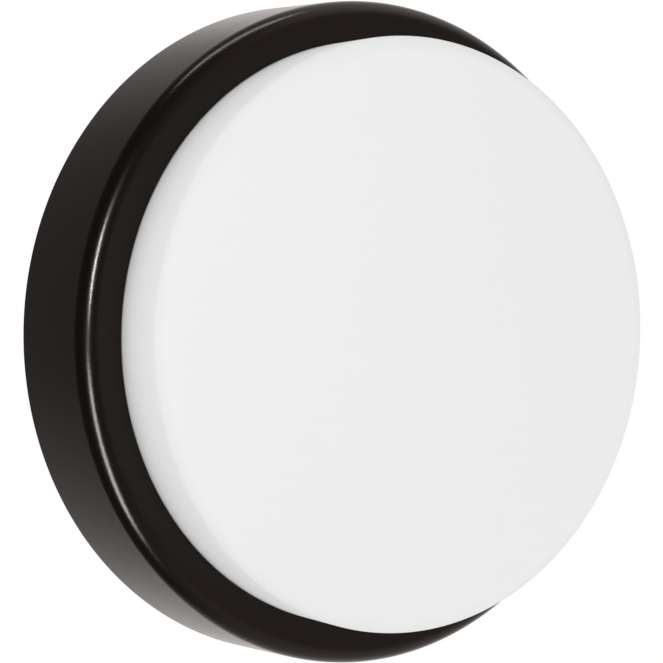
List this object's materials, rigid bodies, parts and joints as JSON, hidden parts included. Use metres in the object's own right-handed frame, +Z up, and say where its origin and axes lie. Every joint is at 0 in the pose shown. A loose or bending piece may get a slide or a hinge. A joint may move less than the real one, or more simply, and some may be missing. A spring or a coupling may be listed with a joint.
{
  "type": "outdoor wall light",
  "caption": "Round outdoor wall light: black cast ring and projecting opal diffuser that pull off spring clips, over a sealed base with light board, supply unit and mains terminal.",
  "frame": {"origin": "centre of the wall face, where the middle of the back plate meets the wall", "axes": "+Y points into the wall, so the light's front looks along -Y; +Z is up and +X is to the right of a person who faces the wall"},
  "size_m": [0.3038, 0.088, 0.3038],
  "materials": {
    "powder_coat": "black fine-textured satin powder coat on die-cast aluminium",
    "opal_plastic": "opal white translucent polycarbonate, satin",
    "seal_rubber": "black extruded rubber",
    "zinc_plate": "bright zinc-plated steel",
    "spring_steel": "stainless spring steel strip",
    "rivet_alloy": "plain aluminium rivet",
    "white_enamel": "white stoved enamel on pressed steel",
    "board_white": "white solder mask on an aluminium board",
    "phosphor": "yellow phosphor in clear resin",
    "nylon": "natural moulded nylon",
    "casing_plastic": "light grey moulded plastic",
    "circuit_laminate": "green glass-fibre laminate",
    "coil_tape": "yellow wrapped coil tape",
    "capacitor_sleeve": "black shrunk sleeve",
    "brass": "turned brass",
    "tinned_brass": "tin-plated brass",
    "brown_pvc": "brown insulation",
    "blue_pvc": "blue insulation",
    "green_yellow_pvc": "green and yellow striped insulation",
    "red_pvc": "red insulation",
    "black_pvc": "black insulation"
  },
  "bodies": {
    "base": {"wall_base": "powder_coat", "rim_gasket": "seal_rubber", "wall_gasket": "seal_rubber", "cable_grommet": "seal_rubber", "entry_plug": "seal_rubber", "spring_clip_1": "spring_steel", "spring_clip_2": "spring_steel", "spring_clip_3": "spring_steel", "spring_clip_4": "spring_steel", "clip_rivets": "rivet_alloy", "gear_tray": "white_enamel", "tray_screws": "zinc_plate", "led_board": "board_white", "led_chips": "phosphor", "board_screws": "zinc_plate", "board_connector": "nylon", "driver_case": "casing_plastic", "driver_lid": "casing_plastic", "driver_board": "circuit_laminate", "driver_transformer": "coil_tape", "driver_capacitors": "capacitor_sleeve", "driver_screws": "zinc_plate", "terminal_block": "nylon", "terminal_tubes": "brass", "terminal_screws": "zinc_plate", "block_screws": "zinc_plate", "earth_ring": "tinned_brass", "earth_screw": "zinc_plate", "live_lead": "brown_pvc", "neutral_lead": "blue_pvc", "earth_lead": "green_yellow_pvc", "plus_lead": "red_pvc", "minus_lead": "black_pvc"},
    "cover": {"trim_ring": "powder_coat", "diffuser": "opal_plastic", "diffuser_gasket": "seal_rubber", "diffuser_clamp_1": "zinc_plate", "diffuser_clamp_2": "zinc_plate", "diffuser_clamp_3": "zinc_plate", "diffuser_clamp_4": "zinc_plate", "diffuser_clamp_5": "zinc_plate", "diffuser_clamp_6": "zinc_plate", "clamp_screws": "zinc_plate"}
  },
  "joints": [
    {"name": "cover_pull", "type": "slide", "parent": "base", "child": "cover", "axis": [0, -1, 0], "range_m": [0, 0.12], "deforming": ["spring_clip_1", "spring_clip_2", "spring_clip_3", "spring_clip_4"]}
  ]
}
